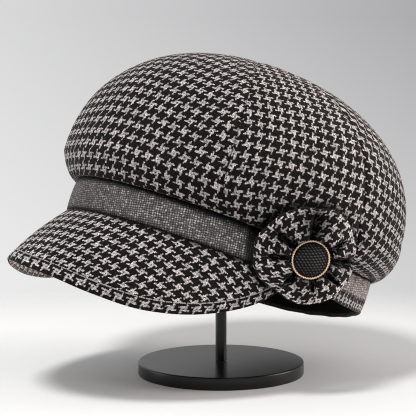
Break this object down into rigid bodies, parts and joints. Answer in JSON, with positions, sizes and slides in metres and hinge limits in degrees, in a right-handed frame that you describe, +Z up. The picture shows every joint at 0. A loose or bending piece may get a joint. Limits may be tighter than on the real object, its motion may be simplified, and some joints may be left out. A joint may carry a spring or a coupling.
{
  "type": "newsboy cap on a display stand",
  "caption": "Houndstooth newsboy cap with a panelled crown, plain band, short curved peak and a button rosette, held on a round-based post stand.",
  "frame": {"origin": "the middle of the stand base's underside", "axes": "+Z is up, -Y is the way the cap's front and peak look, +X is the wearer's left, where the rosette is"},
  "size_m": [0.2256, 0.2669, 0.2023],
  "materials": {
    "houndstooth_crown": "woven wool in black and light grey houndstooth",
    "grey_band": "grey tweed with pale flecks",
    "gathered_band": "houndstooth wool gathered on elastic",
    "black_lining": "plain black woven sweatband",
    "houndstooth_peak": "houndstooth wool over a stiffened peak, topstitched",
    "houndstooth_rosette": "gathered houndstooth wool",
    "button_cover": "black basket-woven cover",
    "gold_rim": "bright rope-patterned gold rim",
    "black_stand": "satin black powder coat on steel"
  },
  "bodies": {
    "root": {"crown_panel_front": "houndstooth_crown", "crown_panel_left_front": "houndstooth_crown", "crown_panel_left_back": "houndstooth_crown", "crown_panel_back": "houndstooth_crown", "crown_panel_right_back": "houndstooth_crown", "crown_panel_right_front": "houndstooth_crown", "front_band": "grey_band", "back_band": "gathered_band", "sweatband": "black_lining", "peak": "houndstooth_peak", "rosette": "houndstooth_rosette", "button": "button_cover", "button_rim": "gold_rim", "stand_base": "black_stand", "stand_post": "black_stand"}
  },
  "joints": []
}
